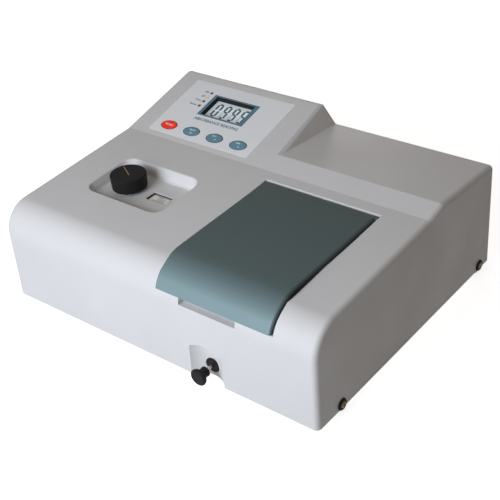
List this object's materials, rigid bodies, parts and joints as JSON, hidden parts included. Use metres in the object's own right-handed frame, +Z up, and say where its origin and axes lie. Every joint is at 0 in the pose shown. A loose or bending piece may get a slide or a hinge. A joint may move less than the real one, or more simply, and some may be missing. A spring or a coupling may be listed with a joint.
{
  "type": "uv-vis spectrophotometer",
  "caption": "Bench spectrophotometer with a hinged smoky sample lid, a sliding cell carriage, a wavelength knob and a sloping console with display and keys.",
  "frame": {"origin": "on the table, under the middle of the whole object's box", "axes": "+Z up, the front with the pull rod faces -Y, +X to the right as seen from the front"},
  "size_m": [0.4258, 0.355, 0.1625],
  "materials": {
    "cover_shell": "fine textured pale grey",
    "smoky_lid": "glossy dark blue-grey",
    "steel": "ground",
    "zinc_sheet": "satin plated sheet",
    "foot_rubber": "matt",
    "black_plastic": "satin black",
    "brass": "satin",
    "matt_black": "matt black",
    "dial_metal": "printed satin",
    "clear_window": "polished",
    "cast_metal": "as cast",
    "mirror_glass": "polished",
    "lamp_glass": "clear",
    "panel_film": "fine matt film",
    "display_glass": "grey-green",
    "circuit_board": "lacquered",
    "key_red": "satin red",
    "key_teal": "satin teal",
    "led_dark": "unlit dark red",
    "led_lit": "lit yellow-green",
    "transformer_iron": "varnished"
  },
  "bodies": {
    "instrument": {"top_cover": "cover_shell", "hinge_pin": "steel", "base_chassis": "zinc_sheet", "rear_panel": "zinc_sheet", "foot_front_left": "foot_rubber", "foot_front_right": "foot_rubber", "foot_rear_left": "foot_rubber", "foot_rear_right": "foot_rubber", "cup_washer_front_left": "black_plastic", "cup_washer_front_right": "black_plastic", "cup_washer_rear_left": "black_plastic", "cup_washer_rear_right": "black_plastic", "cover_screw_front_left": "brass", "cover_screw_front_right": "brass", "cover_screw_rear_left": "brass", "cover_screw_rear_right": "brass", "sample_well": "matt_black", "guide_rod_left": "steel", "guide_rod_right": "steel", "rod_escutcheon": "black_plastic", "shaft_bush": "brass", "dial_window": "clear_window", "monochromator_housing": "cast_metal", "monochromator_lid": "cast_metal", "collimating_mirror": "mirror_glass", "folding_mirror": "mirror_glass", "entrance_slit": "matt_black", "exit_slit": "matt_black", "lamp_housing": "zinc_sheet", "halogen_lamp": "lamp_glass", "condenser_lens": "clear_window", "detector_housing": "matt_black", "membrane_panel": "panel_film", "display_module": "display_glass", "display_board": "circuit_board", "status_led_1": "led_dark", "status_led_2": "led_lit", "status_led_3": "led_dark", "status_led_4": "led_dark", "main_board": "circuit_board", "transformer": "transformer_iron", "power_inlet": "black_plastic", "switch_bezel": "black_plastic"},
    "lid": {"compartment_lid": "smoky_lid"},
    "cell_slider": {"cell_carriage": "black_plastic", "pull_rod": "steel", "pull_knob": "black_plastic"},
    "wavelength_drive": {"wavelength_knob": "black_plastic", "knob_shaft": "steel", "wavelength_dial": "dial_metal", "wavelength_cam": "brass"},
    "grating_turret": {"follower_arm": "steel", "grating_table": "cast_metal", "diffraction_grating": "mirror_glass"},
    "button_1": {"key_1": "key_red"},
    "button_2": {"key_2": "key_teal"},
    "button_3": {"key_3": "key_teal"},
    "button_4": {"key_4": "key_teal"},
    "switch": {"switch_rocker": "key_red"}
  },
  "joints": [
    {"name": "lid_hinge", "type": "hinge", "parent": "instrument", "child": "lid", "pos_m": [0.0885, 0.022, 0.13036], "axis": [-1, 0, 0], "range_deg": [0, 95]},
    {"name": "cell_slide", "type": "slide", "parent": "instrument", "child": "cell_slider", "axis": [0, -1, 0], "range_m": [0, 0.048]},
    {"name": "wavelength_turn", "type": "hinge", "parent": "instrument", "child": "wavelength_drive", "pos_m": [-0.123, -0.047, 0.12], "axis": [0, 0, 1], "range_deg": [-150, 150]},
    {"name": "grating_tilt", "type": "hinge", "parent": "instrument", "child": "grating_turret", "pos_m": [-0.052, -0.0233, 0.06], "axis": [0, 0, 1], "range_deg": [-6.9, 6.9]},
    {"name": "key_1_press", "type": "slide", "parent": "instrument", "child": "button_1", "axis": [0, 0.2385, -0.9711], "range_m": [0, 0.0005], "stiffness_N_per_m": 400, "springref_m": -0.0005},
    {"name": "key_2_press", "type": "slide", "parent": "instrument", "child": "button_2", "axis": [0, 0.2385, -0.9711], "range_m": [0, 0.0005], "stiffness_N_per_m": 400, "springref_m": -0.0005},
    {"name": "key_3_press", "type": "slide", "parent": "instrument", "child": "button_3", "axis": [0, 0.2385, -0.9711], "range_m": [0, 0.0005], "stiffness_N_per_m": 400, "springref_m": -0.0005},
    {"name": "key_4_press", "type": "slide", "parent": "instrument", "child": "button_4", "axis": [0, 0.2385, -0.9711], "range_m": [0, 0.0005], "stiffness_N_per_m": 400, "springref_m": -0.0005},
    {"name": "switch_rock", "type": "hinge", "parent": "instrument", "child": "switch", "pos_m": [-0.022, 0.17162, 0.0473], "axis": [1, 0, 0], "range_deg": [0, 16]}
  ],
  "couplings": [
    {"joint": "grating_tilt", "follows": "wavelength_turn", "ratio": -0.04507}
  ]
}
